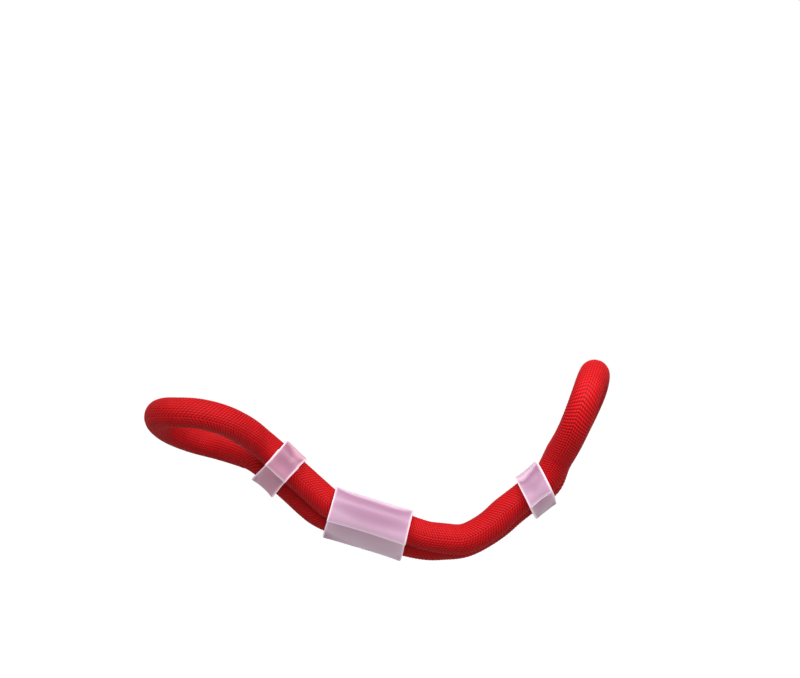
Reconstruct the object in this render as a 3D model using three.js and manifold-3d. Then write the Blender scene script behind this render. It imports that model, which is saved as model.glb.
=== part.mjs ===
// A finger loop: one closed loop of soft braided cord, worn with the thumb through one eye and
// the index finger through the other. Three wrapped plastic sleeves hold its two runs side by side.
// Millimetres. The origin is the centre of the thumb eye. +X runs from the thumb to the finger,
// +Y is the side of the back run and +Z is up.
import * as THREE from "three";
import { mergeVertices } from "three/addons/utils/BufferGeometryUtils.js";
import Module from "manifold-3d";

const wasm = await Module();
wasm.setup();

// Driving dimensions.
const CORD_R = 2.8; // outside of the braided cover
const BORE_R = 2.05; // inside of the cover
const CORE_R = 1.7; // soft filler strands
const HALF_PAIR = 2.96; // from the middle of the pair to the centre of either run
const BALL_R = 2.9; // rounded cord end at a flex point, and the cup that it turns in
const CUP_R = 3.25;
const SLEEVE_GAP = 0.35; // from a sleeve's inner layer to the cord
const WALL = 0.5; // thickness of the sleeves' sheet
const LAP_GAP = 0.3; // between the two layers where the sheet overlaps itself
const SLEEVE_LENGTH = { thumb: 5.2, middle: 15.6, finger: 5.2 };
const JOIN_HALF = 3; // half the length of the whipping thread over the cord's two ends
const JOIN_GAP = 0.15; // half the space between the two cord ends
const NECK_R = 2.35; // outside of the cover where the whipping pulls it in
const WHIPPING_R = [2.68, 2.98];
const CORD_SIDES = 10;
const CORD_STEP = 2.8; // length of one straight facet along the cord
const THUMB_FLEX = 9; // distance of the thumb side's flex point from its sleeve's middle
const WHOLE_RUN = 60; // longer than the middle run

// The straight stretches of the pair that the sleeves sit on: the pair's middle at the sleeve,
// its slope above +X and its tilt, which is how far the back run lies below the front one.
const THUMB_RUN = { x: 13.4, z: -6.9, slope: -42, tilt: 30 };
const MIDDLE_RUN = { x: 30.4, z: -17.5, slope: -17.5, tilt: 27 };
const FINGER_RUN = { x: 62.6, z: -11.0, slope: 38, tilt: 12 };
const FINGER_FLEX = { x: 48.8, z: -20.8, slope: 10, tilt: 10 };
const FRONT = -1;
const BACK = 1;

// The eyes, as points on the cord's centre from the front run round to the back run.
const THUMB_EYE = [
  [9.7, -3.5, -1.7], [6.8, -6.3, 0.6], [2.8, -9.4, 2.7], [-1.8, -10.9, 3.9], [-5.8, -9.9, 4.1],
  [-8.6, -6.4, 3.9], [-9.7, -1.6, 3.0], [-9.3, 3.6, 1.6], [-7.3, 7.8, 0.0], [-3.6, 10.4, -1.5],
  [0.8, 10.5, -2.6], [4.6, 8.2, -3.6], [7.6, 4.9, -4.5],
];
const FINGER_EYE = [
  [66.7, -4.8, -4.4], [68.7, -8.0, -0.6], [70.2, -10.1, 3.2], [71.6, -10.1, 7.0],
  [72.8, -7.0, 9.9], [73.7, -2.2, 11.2], [74.1, 2.8, 10.4], [73.9, 7.6, 8.1], [72.7, 10.2, 4.8],
  [71.0, 10.2, 1.3], [69.1, 7.6, -2.1], [66.9, 4.6, -5.6],
];

const radians = THREE.MathUtils.degToRad;

// The directions of a stretch: along it, square to it and up, and from its front run to its back.
function directions({ slope, tilt }) {
  const s = radians(slope);
  const t = radians(tilt);
  const along = new THREE.Vector3(Math.cos(s), 0, Math.sin(s));
  const up = new THREE.Vector3(-Math.sin(s), 0, Math.cos(s));
  const across = new THREE.Vector3(0, Math.cos(t), 0).addScaledVector(up, -Math.sin(t));
  return { along, up, across };
}

// A point of a stretch: so far along it, in the middle or on the centre of its front or back run.
function onRun(run, distance, side = 0) {
  const { along, across } = directions(run);
  return new THREE.Vector3(run.x, 0, run.z)
    .addScaledVector(along, distance)
    .addScaledVector(across, side * HALF_PAIR);
}

const handPlaced = (points) => points.map((p) => new THREE.Vector3(...p));
const curveThrough = (points) => new THREE.CatmullRomCurve3(points, false, "centripetal");

// From the front flex end, through the thumb sleeve, round the thumb and back.
function thumbRoute() {
  const straight = [THUMB_FLEX, 6, 3, 0, -3.1];
  return curveThrough([
    ...straight.map((d) => onRun(THUMB_RUN, d, FRONT)),
    ...handPlaced(THUMB_EYE),
    ...straight.reverse().map((d) => onRun(THUMB_RUN, d, BACK)),
  ]);
}

// One run from the thumb side's flex point, through the middle sleeve, to the finger side's.
function middleRoute(side) {
  const bends = [
    { x: 41.6, z: -20.8, slope: -11, tilt: 22 },
    { x: 44.9, z: -20.95, slope: -4, tilt: 16 },
  ];
  return curveThrough([
    ...[THUMB_FLEX - 3, THUMB_FLEX, THUMB_FLEX + 1.6].map((d) => onRun(THUMB_RUN, d, side)),
    ...[-7, -4, 0, 4, 8].map((d) => onRun(MIDDLE_RUN, d, side)),
    ...bends.map((bend) => onRun(bend, 0, side)),
    onRun(FINGER_FLEX, 0, side),
  ]);
}

// From the front flex end, through the finger sleeve, round the index finger and back.
function fingerRoute() {
  const bend = { x: 54.0, z: -18.0, slope: 34, tilt: 9 };
  const approach = (side) => [
    onRun(FINGER_FLEX, -3, side),
    onRun(FINGER_FLEX, 0, side),
    onRun(bend, 0, side),
    ...[-7, -4.8, -2.4, 0, 2.7].map((d) => onRun(FINGER_RUN, d, side)),
  ];
  return curveThrough([
    ...approach(FRONT),
    ...handPlaced(FINGER_EYE),
    ...approach(BACK).reverse(),
  ]);
}

function polygon(radius) {
  return Array.from({ length: CORD_SIDES }, (_, i) => {
    const turn = ((i + 0.5) / CORD_SIDES) * 2 * Math.PI;
    return new THREE.Vector2(radius * Math.cos(turn), radius * Math.sin(turn));
  });
}

// A rod along a route, or a tube where it has a bore.
function rope(route, radius, bore = 0) {
  const section = new THREE.Shape(polygon(radius));
  if (bore) section.holes.push(new THREE.Path(polygon(bore)));
  const steps = Math.round(route.getLength() / CORD_STEP);
  return new THREE.ExtrudeGeometry(section, { steps, bevelEnabled: false, extrudePath: route });
}

function solid(geometry) {
  const bare = geometry.clone();
  bare.deleteAttribute("normal");
  bare.deleteAttribute("uv");
  const merged = mergeVertices(bare, 1e-4);
  const vertProperties = merged.attributes.position.array;
  return new wasm.Manifold(
    new wasm.Mesh({ numProp: 3, vertProperties, triVerts: new Uint32Array(merged.index.array) }),
  );
}

function toGeometry(made) {
  const { vertProperties, triVerts } = made.getMesh();
  const geometry = new THREE.BufferGeometry();
  geometry.setAttribute("position", new THREE.BufferAttribute(vertProperties, 3));
  geometry.setIndex(new THREE.BufferAttribute(triVerts, 1));
  geometry.computeVertexNormals();
  return geometry;
}

function ball(centre, radius) {
  return solid(new THREE.SphereGeometry(radius, 16, 10).translate(...centre.toArray()));
}

// A block on one side of a plane, which cuts off the cord that lies there.
function sideOf(centre, outward, size = 12) {
  const block = new THREE.BoxGeometry(size, size, size).translate(0, 0, size / 2);
  const turn = new THREE.Quaternion().setFromUnitVectors(new THREE.Vector3(0, 0, 1), outward);
  return solid(block.applyQuaternion(turn).translate(...centre.toArray()));
}

// Rounds the end of a cord that runs on past the flex point.
function roundEnd(made, centre, outward) {
  return made.subtract(sideOf(centre, outward).subtract(ball(centre, BALL_R)));
}

function hollowEnd(made, centre, outward) {
  return made.subtract(sideOf(centre, outward)).subtract(ball(centre, CUP_R));
}

const fabric = (colour, roughness) => new THREE.MeshStandardMaterial({ color: colour, roughness });
const BRAID = fabric(0xc4101c, 0.85);
const FILLER = fabric(0xe8e2da, 0.95);
const THREAD = fabric(0xa00d18, 0.8);
const SHEET = new THREE.MeshStandardMaterial({ color: 0xe3c3e6, roughness: 0.35, metalness: 0 });

function named(name, made, material) {
  const mesh = new THREE.Mesh(made.isBufferGeometry ? made : toGeometry(made), material);
  mesh.name = name;
  return mesh;
}

// The cover and the filler of one length of cord, with the same cuts at their ends.
function cordPair(name, route, cut) {
  return [
    named(`${name}_cover`, cut(solid(rope(route, CORD_R, BORE_R))), BRAID),
    named(`${name}_filler`, cut(solid(rope(route, CORE_R))), FILLER),
  ];
}

function thumbCord() {
  const along = directions(THUMB_RUN).along;
  return cordPair("thumb_side", thumbRoute(), (made) =>
    [FRONT, BACK].reduce(
      (left, side) => hollowEnd(left, onRun(THUMB_RUN, THUMB_FLEX, side), along),
      made,
    ),
  );
}

function middleEnds(made, side) {
  const thumbward = directions(THUMB_RUN).along.negate();
  const fingerward = directions(FINGER_FLEX).along;
  const rounded = roundEnd(made, onRun(THUMB_RUN, THUMB_FLEX, side), thumbward);
  return hollowEnd(rounded, onRun(FINGER_FLEX, 0, side), fingerward);
}

function fingerCord() {
  const thumbward = directions(FINGER_FLEX).along.negate();
  return cordPair("finger_side", fingerRoute(), (made) =>
    [FRONT, BACK].reduce(
      (left, side) => roundEnd(left, onRun(FINGER_FLEX, 0, side), thumbward),
      made,
    ),
  );
}

// A ring round the back run at the middle sleeve, between two radii.
function joinRing(halfLength, inner, outer) {
  const profile = [
    [inner, -halfLength], [outer, -halfLength], [outer, halfLength], [inner, halfLength],
    [inner, -halfLength],
  ].map(([r, h]) => new THREE.Vector2(r, h));
  const ring = new THREE.LatheGeometry(profile, 2 * CORD_SIDES);
  const turn = new THREE.Quaternion().setFromUnitVectors(
    new THREE.Vector3(0, 1, 0),
    directions(MIDDLE_RUN).along,
  );
  return ring.applyQuaternion(turn).translate(...onRun(MIDDLE_RUN, 0, BACK).toArray());
}

// The back run holds the cord's two ends, so it is two lengths with a gap under the whipping.
function middleCord() {
  const centre = onRun(MIDDLE_RUN, 0, BACK);
  const fingerward = directions(MIDDLE_RUN).along;
  const thumbward = fingerward.clone().negate();
  const neck = solid(joinRing(JOIN_HALF + JOIN_GAP, NECK_R, CORD_R + 1));
  const ends = [
    ["back_end_thumbward", fingerward],
    ["back_end_fingerward", thumbward],
  ];
  return [
    ...cordPair("middle_front", middleRoute(FRONT), (made) => middleEnds(made, FRONT)),
    ...ends.flatMap(([name, outward]) => {
      const face = centre.clone().addScaledVector(outward, -JOIN_GAP);
      return cordPair(name, middleRoute(BACK), (made) =>
        middleEnds(made, BACK).subtract(neck).subtract(sideOf(face, outward, WHOLE_RUN)),
      );
    }),
    named("join_whipping", joinRing(JOIN_HALF, ...WHIPPING_R), THREAD),
  ];
}

// The outline round both runs at a distance outside them, at a share of the way round.
// Share 0 is the middle of the flat below the front run, and the outline goes over the back run.
function wrapPoint(share, offset) {
  const radius = CORD_R + offset;
  const arc = Math.PI * radius;
  const flat = 2 * HALF_PAIR;
  let way = (share - Math.floor(share)) * 2 * (arc + flat);
  if (way < flat / 2) return new THREE.Vector2(way, -radius);
  way -= flat / 2;
  if (way < arc) {
    const turn = way / radius - Math.PI / 2;
    return new THREE.Vector2(
      HALF_PAIR + radius * Math.cos(turn),
      radius * Math.sin(turn),
    );
  }
  way -= arc;
  if (way < flat) return new THREE.Vector2(HALF_PAIR - way, radius);
  way -= flat;
  if (way < arc) {
    const turn = way / radius + Math.PI / 2;
    return new THREE.Vector2(
      -HALF_PAIR + radius * Math.cos(turn),
      radius * Math.sin(turn),
    );
  }
  way -= arc;
  return new THREE.Vector2(-HALF_PAIR + way, -radius);
}

// The sheet's cross-section: it starts on the front under its own lap, goes below and behind both
// runs and over the top, rises by one layer and ends in a free lip below the front run.
function sheetSection() {
  const start = -0.24;
  const turns = 1.13;
  const riseFrom = 0.58;
  const riseTo = 0.74;
  const steps = 56;
  const layer = (share) =>
    SLEEVE_GAP + (WALL + LAP_GAP) * THREE.MathUtils.smoothstep(share, riseFrom, riseTo);
  const side = (extra) =>
    Array.from({ length: steps + 1 }, (_, i) => {
      const share = start + (turns * i) / steps;
      return wrapPoint(share, layer(share) + extra);
    });
  return new THREE.Shape([...side(0), ...side(WALL).reverse()]);
}

// A sleeve, centred on its run.
function sleeve(name, run, length) {
  const { along, across } = directions(run);
  const shape = new THREE.ExtrudeGeometry(sheetSection(), { depth: length, bevelEnabled: false });
  const mesh = named(name, shape.translate(0, 0, -length / 2), SHEET);
  const upward = new THREE.Vector3().crossVectors(along, across);
  mesh.quaternion.setFromRotationMatrix(new THREE.Matrix4().makeBasis(across, upward, along));
  mesh.position.copy(onRun(run, 0));
  return mesh;
}

const fingerLoop = new THREE.Group();
fingerLoop.add(
  ...thumbCord(),
  ...middleCord(),
  ...fingerCord(),
  sleeve("thumb_sleeve", THUMB_RUN, SLEEVE_LENGTH.thumb),
  sleeve("middle_sleeve", MIDDLE_RUN, SLEEVE_LENGTH.middle),
  sleeve("finger_sleeve", FINGER_RUN, SLEEVE_LENGTH.finger),
);
export default fingerLoop;
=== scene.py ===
import math

import bpy
import numpy as np
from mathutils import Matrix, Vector


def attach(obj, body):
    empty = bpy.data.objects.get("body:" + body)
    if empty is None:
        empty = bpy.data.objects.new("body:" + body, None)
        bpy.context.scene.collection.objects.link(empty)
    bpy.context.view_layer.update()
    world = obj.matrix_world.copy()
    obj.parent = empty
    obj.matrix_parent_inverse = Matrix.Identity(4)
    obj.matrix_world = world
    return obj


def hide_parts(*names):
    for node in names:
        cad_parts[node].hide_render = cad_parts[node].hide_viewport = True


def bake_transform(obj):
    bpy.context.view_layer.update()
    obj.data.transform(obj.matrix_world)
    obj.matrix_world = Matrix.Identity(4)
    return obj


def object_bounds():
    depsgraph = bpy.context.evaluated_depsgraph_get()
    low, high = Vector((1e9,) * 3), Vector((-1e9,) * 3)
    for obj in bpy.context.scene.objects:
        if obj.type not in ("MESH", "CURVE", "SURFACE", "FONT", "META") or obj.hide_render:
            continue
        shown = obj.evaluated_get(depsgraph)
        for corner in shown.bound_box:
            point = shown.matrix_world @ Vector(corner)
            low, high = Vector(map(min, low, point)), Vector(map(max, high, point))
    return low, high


# A closed loop of red braided cord for the thumb and index finger, with three wrapped sleeves of
# translucent lilac sheet. Metres, in the frame of the CAD model, whose origin is the thumb eye.
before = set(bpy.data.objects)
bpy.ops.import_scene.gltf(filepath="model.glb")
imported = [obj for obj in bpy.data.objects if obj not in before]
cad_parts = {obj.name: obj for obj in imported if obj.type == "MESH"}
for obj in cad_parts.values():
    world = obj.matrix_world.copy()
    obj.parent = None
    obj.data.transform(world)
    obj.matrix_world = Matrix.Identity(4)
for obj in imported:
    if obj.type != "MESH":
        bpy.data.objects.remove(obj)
CAD_BOX = [list(corner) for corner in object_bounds()]
MM = 0.001

# The cord and the pair of runs, as in the CAD model.
CORD_R = 2.86 * MM  # to the middle of the braid's relief
HALF_PAIR = 2.96 * MM  # from the middle of the pair to the centre of either run
SHEET = 0.5 * MM  # thickness of the sleeves' sheet
SHEET_GAP = 0.04 * MM  # between the cord and the sheet, and between the sheet's two layers
JOIN_HALF = 3 * MM  # half the length of the thread whipped round the cord's two ends
NECK = 0.5 * MM  # how far the whipping pulls the cord in
SLIDE = 4.5 * MM  # how far a sleeve slides at most
GRIP = 0.14 * MM  # how much thinner the cord is where a sleeve sits or slides, to leave it room
FRONT = -1
BACK = 1
LAP_START = -0.24  # share of the way round where a sleeve's sheet starts, under its own lap
LIP_LIFT = 0.75 * MM  # how far the free lip stands off
LIP_REACH = 0.10  # share of the way round over which the lip lifts
SECOND_LAYER = (0.60, 0.76)  # share of the way round where the sheet climbs on to its own start
BELLY = {"height": 0.30 * MM, "share": 0.12, "width": 0.14}  # slack below the pair
TUCK = {"height": 0.15 * MM, "share": 0.55, "width": 0.06}  # slack above the pair
WAVE = 0.06 * MM
FLARE = 0.16 * MM  # how far a sleeve opens at its two ends
LIP_WAVE = 0.12 * MM
RAGGED = 0.10 * MM  # how far a sleeve's ends wander along the cord
SLACK_SHADE = 0.7  # share of a sleeve's slack that doesn't change its colour
EDGE_GLOW_REACH = 0.20 * MM

# The straight stretches under the sleeves: middle of the pair, slope above +X, tilt of the pair.
THUMB_RUN = {"x": 0.0134, "z": -0.0069, "slope": -42, "tilt": 30}
MIDDLE_RUN = {"x": 0.0304, "z": -0.0175, "slope": -17.5, "tilt": 27}
FINGER_RUN = {"x": 0.0626, "z": -0.0110, "slope": 38, "tilt": 12}
FINGER_FLEX = {"x": 0.0488, "z": -0.0208, "slope": 10, "tilt": 10}
BENDS_BEFORE_FLEX = [
    {"x": 0.0416, "z": -0.0208, "slope": -11, "tilt": 22},
    {"x": 0.0449, "z": -0.02095, "slope": -4, "tilt": 16},
]
BEND_AFTER_FLEX = {"x": 0.0540, "z": -0.0180, "slope": 34, "tilt": 9}

# The eyes, from the front run round to the back run.
THUMB_EYE = [
    (0.0097, -0.0035, -0.0017), (0.0068, -0.0063, 0.0006), (0.0028, -0.0094, 0.0027),
    (-0.0018, -0.0109, 0.0039), (-0.0058, -0.0099, 0.0041), (-0.0086, -0.0064, 0.0039),
    (-0.0097, -0.0016, 0.0030), (-0.0093, 0.0036, 0.0016), (-0.0073, 0.0078, 0.0000),
    (-0.0036, 0.0104, -0.0015), (0.0008, 0.0105, -0.0026), (0.0046, 0.0082, -0.0036),
    (0.0076, 0.0049, -0.0045),
]
FINGER_EYE = [
    (0.0667, -0.0048, -0.0044), (0.0687, -0.0080, -0.0006), (0.0702, -0.0101, 0.0032),
    (0.0716, -0.0101, 0.0070), (0.0728, -0.0070, 0.0099), (0.0737, -0.0022, 0.0112),
    (0.0741, 0.0028, 0.0104), (0.0739, 0.0076, 0.0081), (0.0727, 0.0102, 0.0048),
    (0.0710, 0.0102, 0.0013), (0.0691, 0.0076, -0.0021), (0.0669, 0.0046, -0.0056),
]

# The braid: bands of slanting ribs, whose slant turns about from band to band. Each rib is a row
# of beads, one for each strand that crosses it.
BANDS = 4
BEADS = 9  # to a band
RIB = 0.56 * MM
RELIEF = 0.16 * MM
SIDES = 84
RING_STEP = 0.125 * MM
MEAN_HEIGHT = 0.6  # of the relief, so that the cord keeps its radius on average
VALLEY = 3.6  # how sharply a rib falls away to the valleys beside it
BAND_EDGE = 0.45  # share of a band from its middle where its edge starts
EDGE_FALL = 0.45  # how much lower the relief is along a band's edge

# How the cord gives way, in its own run and against the other one.
EYE_REACH = 0.16  # share of a half's length over which the cord is drawn round its eye
GRIP_FADE = 0.7 * MM
NECK_FADE = 0.2 * MM
NEIGHBOUR = 12 * MM  # along the line, nearer points belong to the same run
PRESS_GAP = 0.02 * MM  # kept between a run's surface and the plane midway to the other run


def directions(run):
    """Along a stretch, square to it and up, and from its front run to its back run."""
    slope, tilt = math.radians(run["slope"]), math.radians(run["tilt"])
    along = np.array([math.cos(slope), 0, math.sin(slope)])
    up = np.array([-math.sin(slope), 0, math.cos(slope)])
    across = math.cos(tilt) * np.array([0, 1, 0]) - math.sin(tilt) * up
    return along, up, across


def on_run(run, distance, side=0):
    along, _, across = directions(run)
    return np.array([run["x"], 0, run["z"]]) + distance * along + side * HALF_PAIR * across


# --- the cord -----------------------------------------------------------------------------------

def curve_through(points, step):
    """A centripetal Catmull-Rom curve through the points, as points a step apart."""
    p = np.array([2 * points[0] - points[1], *points, 2 * points[-1] - points[-2]], float)
    t = np.concatenate([[0], np.cumsum(np.sqrt(np.linalg.norm(np.diff(p, axis=0), axis=1)))])
    pieces = []
    for i in range(1, len(p) - 2):
        at = np.linspace(t[i], t[i + 1], 60, endpoint=False)[:, None]

        def between(a, b, j, k):
            return ((t[k] - at) * a + (at - t[j]) * b) / (t[k] - t[j])

        a1 = between(p[i - 1], p[i], i - 1, i)
        a2 = between(p[i], p[i + 1], i, i + 1)
        a3 = between(p[i + 1], p[i + 2], i + 1, i + 2)
        b1 = between(a1, a2, i - 1, i + 1)
        b2 = between(a2, a3, i, i + 2)
        pieces.append(between(b1, b2, i, i + 1))
    fine = np.vstack([*pieces, p[-2:-1]])
    way = np.concatenate([[0], np.cumsum(np.linalg.norm(np.diff(fine, axis=0), axis=1))])
    even = np.linspace(0, way[-1], max(2, round(way[-1] / step)) + 1)
    return np.column_stack([np.interp(even, way, fine[:, k]) for k in range(3)])


def smooth(line, reach):
    """The line with each point moved to the weighted mean of its neighbours, ends kept."""
    offsets = np.arange(-3 * reach, 3 * reach + 1)
    weights = np.exp(-0.5 * (offsets / reach) ** 2)
    weights /= weights.sum()
    pad = 3 * reach
    before = 2 * line[0] - line[1 : pad + 1][::-1]
    after = 2 * line[-1] - line[-pad - 1 : -1][::-1]
    long = np.vstack([before, line, after])
    return np.column_stack([np.convolve(long[:, k], weights, "valid") for k in range(3)])


def middle_to_thumb(side):
    """Waypoints of one run from the middle of the middle sleeve to the thumb eye."""
    return [
        *[on_run(MIDDLE_RUN, d * MM, side) for d in (0, -2, -4, -7)],
        *[on_run(THUMB_RUN, d * MM, side) for d in (10.6, 9, 6, 3, 0, -3.1)],
    ]


def middle_to_finger(side):
    return [
        *[on_run(MIDDLE_RUN, d * MM, side) for d in (0, 2, 4, 8)],
        *[on_run(bend, 0, side) for bend in BENDS_BEFORE_FLEX],
        on_run(FINGER_FLEX, 0, side),
        on_run(BEND_AFTER_FLEX, 0, side),
        *[on_run(FINGER_RUN, d * MM, side) for d in (-7, -4.8, -2.4, 0, 2.7)],
    ]


def loop_line(approach, eye):
    points = [*approach(FRONT), *[np.array(p) for p in eye], *reversed(approach(BACK))]
    return smooth(curve_through(points, RING_STEP), 6)


def carried_frames(line, first):
    """Tangents and two square directions at each point, carried along without twisting."""
    tangents = np.gradient(line, axis=0)
    tangents /= np.linalg.norm(tangents, axis=1)[:, None]
    normals = np.zeros_like(line)
    normal = first
    for i, tangent in enumerate(tangents):
        normal = normal - (normal @ tangent) * tangent
        normal = normal / np.linalg.norm(normal)
        normals[i] = normal
    return tangents, normals, np.cross(tangents, normals)


def braid_height(band, rib, slant):
    """Height of the braid, 0 to 1, from a count of bands round the cord and of ribs along it."""
    index = np.floor(band)
    b = band - index - 0.5
    climb = rib + np.where(index % 2 == 0, 1, -1) * slant * b
    q = climb - np.floor(climb) - 0.5
    edge = np.clip((np.abs(b) - BAND_EDGE) / (0.5 - BAND_EDGE), 0, 1)
    return np.sqrt(np.clip(1 - VALLEY * q * q, 0, 1)) * (1 - EDGE_FALL * edge)


def other_run(line, apart):
    """For each point the nearest point of the same line that is not its near neighbour."""
    steps = np.arange(len(line))
    nearest = np.zeros(len(line), int)
    for i in range(len(line)):
        distance = np.linalg.norm(line - line[i], axis=1)
        distance[np.abs(steps - i) < apart] = np.inf
        nearest[i] = int(np.argmin(distance))
    return line[nearest]


def cord_radius(line, sleeves, drawn):
    """The cord is a little thinner where a sleeve grips or has slid along it, and where it is drawn
    round an eye."""
    share = np.linspace(0, 1, len(line))
    radius = CORD_R * (1 - drawn * np.exp(-(((share - 0.5) / EYE_REACH) ** 4)))
    for run, half in sleeves:
        along, _, _ = directions(run)
        offset = line - on_run(run, 0)
        off_axis = np.linalg.norm(offset - np.outer(offset @ along, along), axis=1)
        near = np.where(off_axis < 2 * HALF_PAIR, np.abs(offset @ along), 1.0)
        grip = 1 / (1 + np.exp((near - half) / GRIP_FADE))
        radius -= GRIP * grip
    return radius


def cord_mesh(name, line, lie, sleeves):
    """A tube round the line with the braid's relief, pressed flat against the other run. The lie
    gives the braid's turn at the start, its twist by the end, its ribs' slant at the start, middle
    and end, and how much thinner the cord is drawn round its eye."""
    tangents, normals, sideways = carried_frames(line, np.array([0.0, -1.0, 0.0]))
    way = np.arange(len(line)) * np.linalg.norm(line[1] - line[0])
    share = way / way[-1]
    slant = np.interp(share, [0, 0.5, 1], lie["slant"])
    turn = np.arange(SIDES) / SIDES
    band, rib = np.meshgrid(turn * BANDS, way / RIB)
    height = braid_height(band, rib, slant[:, None])
    radius = cord_radius(line, sleeves, lie["drawn"])
    to_end = way[-1] - way
    radius -= NECK / (1 + np.exp((to_end - JOIN_HALF) / NECK_FADE))
    angle = 2 * math.pi * (turn[None, :] + (lie["turn"] + lie["twist"] * share)[:, None])
    outward = np.cos(angle)[..., None] * normals[:, None, :]
    outward = outward + np.sin(angle)[..., None] * sideways[:, None, :]
    surface = radius[:, None] + RELIEF * (height - MEAN_HEIGHT)
    points = line[:, None, :] + surface[..., None] * outward
    partner = other_run(line, round(NEIGHBOUR / RING_STEP))
    gap = partner - line
    distance = np.linalg.norm(gap, axis=1)
    towards = gap / distance[:, None]
    room = distance / 2 - PRESS_GAP
    reach = np.einsum("ijk,ik->ij", points - line[:, None, :], towards)
    over = np.clip(reach - room[:, None], 0, None)
    points -= over[..., None] * towards[:, None, :]
    return tube_object(name, points, line, slant)


def tube_object(name, points, line, slant):
    """A closed tube from rings of points, with the braid's counts as its UV map."""
    rings, sides = points.shape[:2]
    verts = np.vstack([points.reshape(-1, 3), line[:1], line[-1:]])
    ring, side = np.meshgrid(np.arange(rings - 1), np.arange(sides), indexing="ij")
    nxt = (side + 1) % sides
    quads = np.stack(
        [ring * sides + side, ring * sides + nxt, (ring + 1) * sides + nxt, (ring + 1) * sides + side],
        axis=-1,
    ).reshape(-1, 4)
    first, last = rings * sides, rings * sides + 1
    caps = [(first, (j + 1) % sides, j) for j in range(sides)]
    base = (rings - 1) * sides
    caps += [(last, base + j, base + (j + 1) % sides) for j in range(sides)]
    obj = mesh_object(name, verts, quads.tolist() + caps)
    mesh = obj.data
    uv = mesh.uv_layers.new(name="braid")
    quad_side = np.stack([side, side + 1, side + 1, side], axis=-1).reshape(-1)
    quad_ring = np.stack([ring, ring, ring + 1, ring + 1], axis=-1).reshape(-1)
    coords = np.column_stack([quad_side * BANDS / sides, quad_ring * (RING_STEP / RIB)])
    rest = np.zeros((3 * len(caps), 2))
    uv.data.foreach_set("uv", np.vstack([coords, rest]).astype(np.float32).ravel())
    set_attribute(mesh, "slant", np.append(np.repeat(slant, sides), [slant[0], slant[-1]]))
    return obj


def mesh_object(name, verts, faces):
    mesh = bpy.data.meshes.new(name)
    mesh.from_pydata(np.asarray(verts).tolist(), [], faces)
    mesh.polygons.foreach_set("use_smooth", [True] * len(mesh.polygons))
    obj = bpy.data.objects.new(name, mesh)
    bpy.context.scene.collection.objects.link(obj)
    return obj


def set_attribute(mesh, name, values):
    attribute = mesh.attributes.new(name, "FLOAT", "POINT")
    attribute.data.foreach_set("value", np.asarray(values, np.float32).ravel())


# --- the sleeves --------------------------------------------------------------------------------

def wrap_point(share, radius):
    """A point on the outline round both runs. Share 0 is the middle of the flat below the pair,
    and the outline goes under the back run, behind it, over the top and down the front."""
    arc, flat = math.pi * radius, 2 * HALF_PAIR
    way = (share % 1) * 2 * (arc + flat)
    if way < flat / 2:
        return way, -radius
    way -= flat / 2
    if way < arc:
        turn = way / radius - math.pi / 2
        return HALF_PAIR + radius * math.cos(turn), radius * math.sin(turn)
    way -= arc
    if way < flat:
        return HALF_PAIR - way, radius
    way -= flat
    if way < arc:
        turn = way / radius + math.pi / 2
        return -HALF_PAIR + radius * math.cos(turn), radius * math.sin(turn)
    return -HALF_PAIR + way - arc, -radius


def smoothstep(x, low, high):
    t = min(1.0, max(0.0, (x - low) / (high - low)))
    return t * t * (3 - 2 * t)


def swell(share, bulge):
    """Height of a smooth bulge that is centred on one share of the way round."""
    return bulge["height"] * math.exp(-(((share - bulge["share"]) / bulge["width"]) ** 2))


def sheet_places(length, middles):
    """Places along one side of a sheet, closer together at its two cut edges."""
    near = SHEET / 2 * (1 - np.cos(np.linspace(0, math.pi / 2, 4)))
    between = np.linspace(0.5 * MM, length - 0.5 * MM, middles)
    return np.concatenate([near, between, length - near[::-1]])


def sleeve_mesh(name, run, length, turns, skew, slack, seed):
    """A sheet rolled round both runs, whose free lip ends low on the front."""
    along, up, across = directions(run)
    upward = np.cross(along, across)
    girth = 2 * (math.pi * (CORD_R + SHEET) + 2 * HALF_PAIR)
    round_ways = sheet_places(turns * girth, 150)
    long_ways = sheet_places(length, max(7, round(length / (0.6 * MM))))
    phase = np.random.default_rng(seed).uniform(0, 2 * math.pi, 4)
    under = CORD_R + SHEET_GAP + SHEET / 2
    middle = np.zeros((len(round_ways), len(long_ways), 3))
    clear = np.zeros(middle.shape[:2])
    for i, way in enumerate(round_ways):
        share = LAP_START + way / girth
        end = LAP_START + turns
        layer = (SHEET + SHEET_GAP) * smoothstep(share, *SECOND_LAYER)
        lift = LIP_LIFT * smoothstep(share, end - LIP_REACH, end) ** 1.5
        belly = swell(share, BELLY)
        tuck = swell(share, TUCK)
        for j, place in enumerate(long_ways):
            v = 2 * place / length - 1
            wave = WAVE * math.sin(2.3 * v + phase[0] + 9 * share)
            flare = FLARE * abs(v) ** 3 * (1 + 0.5 * math.sin(8 * share + phase[1]))
            lip = smoothstep(share, end - LIP_REACH, end)
            lip_wave = LIP_WAVE * lip * math.sin(4 * v + phase[2])
            radius = under + slack + layer + lift + belly + tuck + wave + flare + lip_wave
            x, y = wrap_point(share, radius)
            height = (x * across + y * upward) @ up
            ragged = RAGGED * v * math.sin(14 * share + phase[3])
            w = v * length / 2 + skew * height + ragged
            middle[i, j] = on_run(run, w) + x * across + y * upward
            # The stand-off sets the sheet's colour, its painted highlight included.
            clear[i, j] = (radius - under - SLACK_SHADE * slack) / MM
    return sheet_object(name, middle, clear, round_ways, long_ways)


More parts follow.
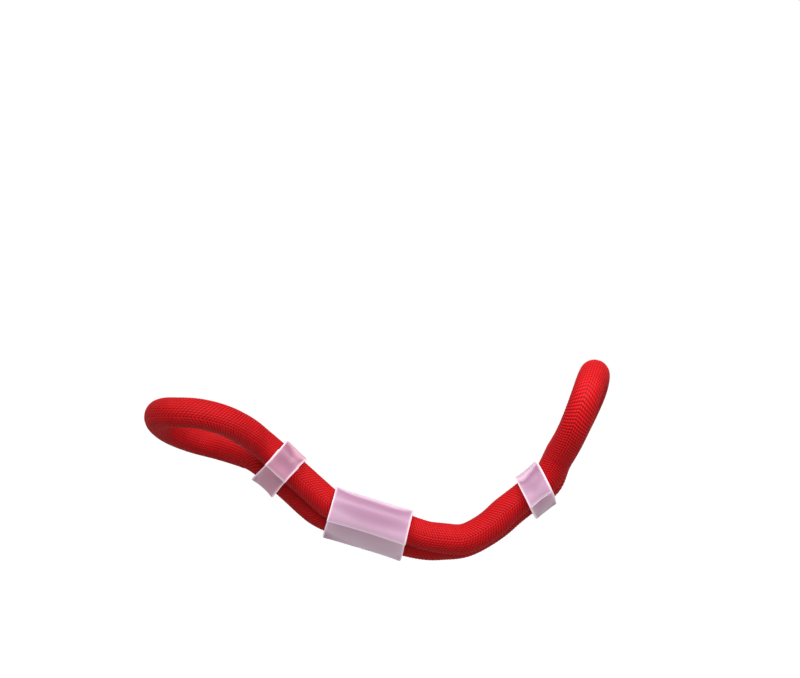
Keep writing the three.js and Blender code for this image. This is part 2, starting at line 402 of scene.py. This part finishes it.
def sheet_object(name, middle, clear, round_ways, long_ways):
    """A closed sheet round a grid of middle points, with rounded cut edges."""
    rows, columns = middle.shape[:2]
    normal = np.cross(np.gradient(middle, axis=0), np.gradient(middle, axis=1))
    normal /= np.linalg.norm(normal, axis=2)[..., None]
    from_round = np.minimum(round_ways, round_ways[-1] - round_ways)
    from_long = np.minimum(long_ways, long_ways[-1] - long_ways)
    inset = np.minimum(from_round[:, None], from_long[None, :])
    left = 1 - np.minimum(inset / (SHEET / 2), 1)
    half = SHEET / 2 * np.maximum(np.sqrt(1 - left**2), 0.45)
    verts = np.vstack([
        (middle + half[..., None] * normal).reshape(-1, 3),
        (middle - half[..., None] * normal).reshape(-1, 3),
    ])
    below = rows * columns
    faces = []
    for i in range(rows - 1):
        for j in range(columns - 1):
            a = i * columns + j
            quad = (a, a + columns, a + columns + 1, a + 1)
            faces.append(quad)
            faces.append(tuple(below + k for k in reversed(quad)))
    border = [*range(columns)]
    border += [i * columns + columns - 1 for i in range(1, rows)]
    border += [(rows - 1) * columns + j for j in range(columns - 2, -1, -1)]
    border += [i * columns for i in range(rows - 2, 0, -1)]
    for a, b in zip(border, border[1:] + border[:1]):
        faces.append((a, b, below + b, below + a))
    obj = mesh_object(name, verts, faces)
    # Nearness to a cut edge, which sets the painted highlight and glow there.
    set_attribute(obj.data, "edge", np.tile(np.exp(-((inset / EDGE_GLOW_REACH) ** 2)).ravel(), 2))
    set_attribute(obj.data, "clear", np.tile(clear.ravel(), 2))
    return obj


def whipping_mesh(name):
    """Thread wound tightly round the cord's two ends, as one ring with a ridge for each turn."""
    along, _, across = directions(MIDDLE_RUN)
    upward = np.cross(along, across)
    thread, around, per_turn = 0.35 * MM, 48, 8
    inner, outer = 2.62 * MM, 2.90 * MM
    turns = round(2 * JOIN_HALF / thread)
    ridge = [
        (outer + 0.08 * MM * abs(math.sin(math.pi * k / per_turn)), thread * k / per_turn - JOIN_HALF)
        for k in range(turns * per_turn + 1)
    ]
    profile = [(inner, ridge[0][1]), *ridge, (inner, ridge[-1][1])]
    verts = []
    for radius, way in profile:
        for k in range(around):
            turn = 2 * math.pi * k / around
            spoke = math.cos(turn) * across + math.sin(turn) * upward
            verts.append(on_run(MIDDLE_RUN, way, BACK) + radius * spoke)
    count = len(profile)
    faces = [
        (i * around + k, i * around + (k + 1) % around,
         (i + 1) % count * around + (k + 1) % around, (i + 1) % count * around + k)
        for i in range(count)
        for k in range(around)
    ]
    return mesh_object(name, verts, faces)


# --- materials ----------------------------------------------------------------------------------

def new_material(name):
    material = bpy.data.materials.new(name)
    material.use_nodes = True
    return material, material.node_tree.nodes, material.node_tree.links


class Sums:
    """Arithmetic on shader sockets, to write a pattern as a formula."""

    def __init__(self, tree):
        self.tree = tree

    def node(self, operation, *values):
        node = self.tree.nodes.new("ShaderNodeMath")
        node.operation = operation
        for socket, value in zip(node.inputs, values):
            if isinstance(value, (int, float)):
                socket.default_value = value
            else:
                self.tree.links.new(value, socket)
        return node.outputs[0]

    def rounded(self, count, share):
        """1 at the middle of each whole count, falling to 1 - share at its ends."""
        q = self.node("SUBTRACT", self.node("FRACT", count), 0.5)
        return self.node("SUBTRACT", 1, self.node("MULTIPLY", self.node("MULTIPLY", q, q), 4 * share))


def attribute_socket(tree, name):
    node = tree.nodes.new("ShaderNodeAttribute")
    node.attribute_name = name
    return node.outputs["Fac"]


def braid_pattern(tree):
    """The height of the beads and ribs, from the UV map's counts of bands and ribs."""
    sums = Sums(tree)
    uv = tree.nodes.new("ShaderNodeUVMap")
    uv.uv_map = "braid"
    counts = tree.nodes.new("ShaderNodeSeparateXYZ")
    tree.links.new(uv.outputs["UV"], counts.inputs["Vector"])
    band, rib = counts.outputs["X"], counts.outputs["Y"]
    index = sums.node("FLOOR", band)
    way = sums.node("SUBTRACT", 1, sums.node("MULTIPLY", sums.node("FLOORED_MODULO", index, 2), 2))
    b = sums.node("SUBTRACT", sums.node("FRACT", band), 0.5)
    slant = sums.node("MULTIPLY", way, attribute_socket(tree, "slant"))
    climb = sums.node("ADD", rib, sums.node("MULTIPLY", slant, b))
    ribs = sums.rounded(climb, 0.85)
    beads = sums.rounded(sums.node("MULTIPLY", band, BEADS), 0.75)
    return sums.node("MULTIPLY", ribs, beads)


def colour_ramp(nodes, *stops):
    ramp = nodes.new("ShaderNodeValToRGB")
    elements = ramp.color_ramp.elements
    while len(elements) < len(stops):
        elements.new(0.5)
    for element, (place, colour) in zip(elements, stops):
        element.position = place
        element.color = (*colour, 1)
    return ramp


# The braid's red, by the height of its relief: its own red on the crests, with painted shade that
# darkens it down the flanks and into the valleys between ribs and beads.
RED_VALLEY_PAINTED_SHADE = (0.06, 0.0, 0.001)
RED_FLANK_PAINTED_SHADE = (0.38, 0.002, 0.004)
RED_CREST = (0.70, 0.008, 0.012)


def braid_material():
    material, nodes, links = new_material("red_braid")
    shader = nodes["Principled BSDF"]
    shader.inputs["Roughness"].default_value = 0.5
    shader.inputs["Specular IOR Level"].default_value = 0.12
    pattern = braid_pattern(material.node_tree)
    # Painted shade: the colour darkens where the relief is low.
    ramp = colour_ramp(nodes, (0.0, RED_VALLEY_PAINTED_SHADE), (0.25, RED_FLANK_PAINTED_SHADE), (0.80, RED_CREST))
    links.new(pattern, ramp.inputs["Fac"])
    blotch = nodes.new("ShaderNodeTexNoise")
    blotch.inputs["Scale"].default_value = 420
    blotch.inputs["Detail"].default_value = 3
    coords = nodes.new("ShaderNodeTexCoord")
    links.new(coords.outputs["Object"], blotch.inputs["Vector"])
    tone = nodes.new("ShaderNodeHueSaturation")
    value = nodes.new("ShaderNodeMapRange")
    value.inputs["To Min"].default_value = 0.86
    value.inputs["To Max"].default_value = 1.14
    links.new(blotch.outputs["Fac"], value.inputs["Value"])
    links.new(value.outputs["Result"], tone.inputs["Value"])
    links.new(ramp.outputs["Color"], tone.inputs["Color"])
    links.new(tone.outputs["Color"], shader.inputs["Base Color"])
    bump = nodes.new("ShaderNodeBump")
    bump.inputs["Strength"].default_value = 0.6
    bump.inputs["Distance"].default_value = 0.14 * MM
    links.new(pattern, bump.inputs["Height"])
    links.new(bump.outputs["Normal"], shader.inputs["Normal"])
    return material


def thread_material():
    material, nodes, links = new_material("whipping_thread")
    shader = nodes["Principled BSDF"]
    shader.inputs["Roughness"].default_value = 0.55
    fibres = nodes.new("ShaderNodeTexNoise")
    fibres.inputs["Scale"].default_value = 2500
    fibres.inputs["Detail"].default_value = 2
    coords = nodes.new("ShaderNodeTexCoord")
    links.new(coords.outputs["Object"], fibres.inputs["Vector"])
    ramp = colour_ramp(nodes, (0.3, (0.16, 0.001, 0.003)), (0.7, (0.44, 0.006, 0.012)))
    links.new(fibres.outputs["Fac"], ramp.inputs["Fac"])
    links.new(ramp.outputs["Color"], shader.inputs["Base Color"])
    return material


# Colour of the sheet by how far it stands off the cord, in mm: mauve where the red cord shows through
# it, and the pale stop at 0.35 mm is painted light, a highlight where the sheet climbs on to its own
# start at the top of the front and a lightening where it sags below the pair.
SHEET_COLOURS_WITH_PAINTED_HIGHLIGHT = (
    (0.0, (0.70, 0.38, 0.50)),
    (0.06, (0.80, 0.50, 0.64)),
    (0.35, (0.98, 0.74, 0.85)),
    (0.5, (0.44, 0.22, 0.35)),
    (1.0, (0.66, 0.44, 0.57)),
)


def sheet_material(name, tint):
    """Translucent plastic: mauve where it lies on the red cord, paler where it stands off it, with a
    painted highlight where it climbs on to its own start, and a painted highlight and glow at its
    cut edges; the whole sheet also glows faintly. The tint stands in for how much of the red cord
    shows through, and on the finger sleeve also for painted shade."""
    material, nodes, links = new_material(name)
    shader = nodes["Principled BSDF"]
    stand_off = attribute_socket(material.node_tree, "clear")
    painted_edge_glow = attribute_socket(material.node_tree, "edge")
    tinted = [(mm, tuple(a * b for a, b in zip(colour, tint))) for mm, colour in SHEET_COLOURS_WITH_PAINTED_HIGHLIGHT]
    # The colour by stand-off, painted highlight included.
    body = colour_ramp(nodes, *tinted)
    links.new(stand_off, body.inputs["Fac"])
    streaks = nodes.new("ShaderNodeTexNoise")
    streaks.inputs["Scale"].default_value = 260
    streaks.inputs["Detail"].default_value = 2
    coords = nodes.new("ShaderNodeTexCoord")
    links.new(coords.outputs["Object"], streaks.inputs["Vector"])
    tone = nodes.new("ShaderNodeHueSaturation")
    value = nodes.new("ShaderNodeMapRange")
    value.inputs["To Min"].default_value = 0.94
    value.inputs["To Max"].default_value = 1.05
    links.new(streaks.outputs["Fac"], value.inputs["Value"])
    links.new(value.outputs["Result"], tone.inputs["Value"])
    links.new(body.outputs["Color"], tone.inputs["Color"])
    # Painted highlight: the colour turns near white at the cut edges.
    edge = nodes.new("ShaderNodeMix")
    edge.data_type = "RGBA"
    links.new(painted_edge_glow, edge.inputs["Factor"])
    links.new(tone.outputs["Color"], edge.inputs["A"])
    edge.inputs["B"].default_value = (1.0, 0.86, 0.95, 1)
    links.new(edge.outputs["Result"], shader.inputs["Base Color"])
    shader.inputs["Roughness"].default_value = 0.34
    shader.inputs["Alpha"].default_value = 0.84
    shader.inputs["Subsurface Weight"].default_value = 0.7
    shader.inputs["Subsurface Radius"].default_value = (1.0, 0.7, 0.95)
    shader.inputs["Subsurface Scale"].default_value = 0.0012
    shader.inputs["IOR"].default_value = 1.45
    shader.inputs["Emission Color"].default_value = (1.0, 0.78, 0.92, 1)
    # Painted glow: the sheet emits faintly all over, and more at its cut edges.
    glow = nodes.new("ShaderNodeMapRange")
    glow.inputs["To Min"].default_value = 0.06
    glow.inputs["To Max"].default_value = 0.30
    links.new(painted_edge_glow, glow.inputs["Value"])
    links.new(glow.outputs["Result"], shader.inputs["Emission Strength"])
    bump = nodes.new("ShaderNodeBump")
    bump.inputs["Strength"].default_value = 0.15
    bump.inputs["Distance"].default_value = 0.2 * MM
    links.new(streaks.outputs["Fac"], bump.inputs["Height"])
    links.new(bump.outputs["Normal"], shader.inputs["Normal"])
    return material


# --- stage --------------------------------------------------------------------------------------

OBJECT_SHARE = 0.581  # of the picture's width
AIM_RIGHT = 0.0283  # from the object's middle to the picture's, as a share of the picture's width
AIM_UP = 0.1517


def add_camera():
    """A level camera in front of the object, which stands low and left of the picture's middle."""
    low, high = (Vector(c) for c in CAD_BOX)
    middle = (low + high) / 2
    seen = (high.x - low.x) / OBJECT_SHARE
    aim = Vector((middle.x + AIM_RIGHT * seen, 0, middle.z + AIM_UP * seen))
    camera = bpy.data.objects.new("camera", bpy.data.cameras.new("camera"))
    camera.data.sensor_width = 36
    camera.data.lens = 150
    distance = seen * camera.data.lens / camera.data.sensor_width
    camera.location = aim - Vector((0, distance, 0))
    camera.rotation_euler = (math.radians(90), 0, 0)
    camera.data.clip_start = 0.01
    bpy.context.scene.collection.objects.link(camera)
    bpy.context.scene.camera = camera


def add_sun(name, towards, strength, width):
    light = bpy.data.lights.new(name, "SUN")
    light.energy = strength
    light.angle = math.radians(width)
    obj = bpy.data.objects.new(name, light)
    obj.rotation_euler = Vector(towards).to_track_quat("Z", "Y").to_euler()
    bpy.context.scene.collection.objects.link(obj)


def add_lamp(name, place, size, power):
    """A square soft lamp that faces the middle of the object, brighter on what is nearer to it."""
    light = bpy.data.lights.new(name, "AREA")
    light.energy = power
    light.size = size
    obj = bpy.data.objects.new(name, light)
    obj.location = place
    middle = (Vector(CAD_BOX[0]) + Vector(CAD_BOX[1])) / 2
    obj.rotation_euler = (Vector(place) - middle).to_track_quat("Z", "Y").to_euler()
    bpy.context.scene.collection.objects.link(obj)


def add_world(light, seen):
    """A white sky, which lights the object less brightly than the camera sees it."""
    world = bpy.data.worlds.new("world")
    world.use_nodes = True
    tree = world.node_tree
    path = tree.nodes.new("ShaderNodeLightPath")
    strength = tree.nodes.new("ShaderNodeMapRange")
    strength.inputs["To Min"].default_value = light
    strength.inputs["To Max"].default_value = seen
    tree.links.new(path.outputs["Is Camera Ray"], strength.inputs["Value"])
    tree.nodes["Background"].inputs["Color"].default_value = (1, 1, 1, 1)
    tree.links.new(strength.outputs["Result"], tree.nodes["Background"].inputs["Strength"])
    bpy.context.scene.world = world


def floor_material():
    """Near white to the camera, but it throws little light back up at the object."""
    material, nodes, links = new_material("pale_floor")
    seen = nodes["Principled BSDF"]
    seen.inputs["Base Color"].default_value = (0.55, 0.55, 0.55, 1)
    seen.inputs["Roughness"].default_value = 1.0
    seen.inputs["Specular IOR Level"].default_value = 0.0
    seen.inputs["Emission Color"].default_value = (1, 1, 1, 1)
    seen.inputs["Emission Strength"].default_value = 0.62
    lit = nodes.new("ShaderNodeBsdfDiffuse")
    lit.inputs["Color"].default_value = (0.42, 0.42, 0.42, 1)
    path = nodes.new("ShaderNodeLightPath")
    mix = nodes.new("ShaderNodeMixShader")
    links.new(path.outputs["Is Camera Ray"], mix.inputs["Fac"])
    links.new(lit.outputs["BSDF"], mix.inputs[1])
    links.new(seen.outputs["BSDF"], mix.inputs[2])
    links.new(mix.outputs["Shader"], nodes["Material Output"].inputs["Surface"])
    return material


def add_stage():
    drop, half = 0.045, 6.0
    low = CAD_BOX[0][2] - drop
    corners = [(-half, -half, low), (half, -half, low), (half, half, low), (-half, half, low)]
    floor = mesh_object("floor", corners, [(0, 1, 2, 3)])
    floor.data.materials.append(floor_material())
    add_sun("key", (-0.35, -0.60, 0.70), 1.5, 30)
    add_sun("fill", (0.5, -0.9, -0.15), 0.55, 60)
    add_lamp("near", (0.100, -0.11, 0.10), 0.08, 0.19)
    add_world(light=0.40, seen=1.0)
    bpy.context.scene.view_settings.view_transform = "Standard"


# --- the whole ----------------------------------------------------------------------------------

HALVES = {
    "cord_thumb_half": {
        "approach": middle_to_thumb,
        "eye": THUMB_EYE,
        "bodies": ("thumb_side", "middle_run"),
        "bends": (on_run(THUMB_RUN, 7.1 * MM), on_run(THUMB_RUN, 12.4 * MM)),
        "lie": {"turn": 0.0, "twist": 0.0, "slant": (5, 5, 5), "drawn": 0.02},
        "nodes": (
            "thumb_side_cover", "thumb_side_filler", "back_end_thumbward_cover",
            "back_end_thumbward_filler",
        ),
    },
    "cord_finger_half": {
        "approach": middle_to_finger,
        "eye": FINGER_EYE,
        "bodies": ("middle_run", "finger_side"),
        "bends": (on_run(FINGER_FLEX, -6 * MM), on_run(FINGER_FLEX, 7 * MM)),
        "lie": {"turn": 0.0, "twist": 0.0, "slant": (6, 2, 5), "drawn": 0.02},
        "nodes": (
            "finger_side_cover", "finger_side_filler", "back_end_fingerward_cover",
            "back_end_fingerward_filler", "middle_front_cover", "middle_front_filler",
        ),
    },
}
SLEEVES = {
    "thumb_sleeve": {
        "run": THUMB_RUN, "length": 5.2 * MM, "turns": 1.115,
        "skew": 0.0, "slack": 0.0, "seed": 1,
    },
    "middle_sleeve": {
        "run": MIDDLE_RUN, "length": 15.6 * MM, "turns": 1.115,
        "skew": -0.05, "slack": 0.10 * MM, "seed": 2,
    },
    "finger_sleeve": {
        "run": FINGER_RUN, "length": 5.2 * MM, "turns": 1.07,
        "skew": 0.2, "slack": 0.3 * MM, "seed": 3,
    },
}


# Tints of each sleeve's sheet: redder where more of the cord shows through; the finger sleeve's is
# also darker all over, as painted shade against the near lamp.
SHEET_TINTS = {
    "thumb_sleeve": (0.85, 0.60, 0.65),
    "middle_sleeve": (0.97, 0.95, 0.98),
    "finger_sleeve": (0.86, 0.80, 0.86),
}


def build():
    add_camera()
    braid = braid_material()
    grips = [(s["run"], s["length"] / 2 + SLIDE) for s in SLEEVES.values()]
    for name, half in HALVES.items():
        line = loop_line(half["approach"], half["eye"])
        piece = cord_mesh(name, line, half["lie"], grips)
        piece.data.materials.append(braid)
        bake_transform(piece)
        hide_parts(*half["nodes"])
    for name, sleeve in SLEEVES.items():
        piece = sleeve_mesh(name + "_sheet", **sleeve)
        piece.data.materials.append(sheet_material(name + "_plastic", SHEET_TINTS[name]))
        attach(piece, name + "_body")
        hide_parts(name)
    whipping = whipping_mesh("whipping")
    whipping.data.materials.append(thread_material())
    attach(whipping, "middle_run")
    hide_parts("join_whipping")
    add_stage()


build()
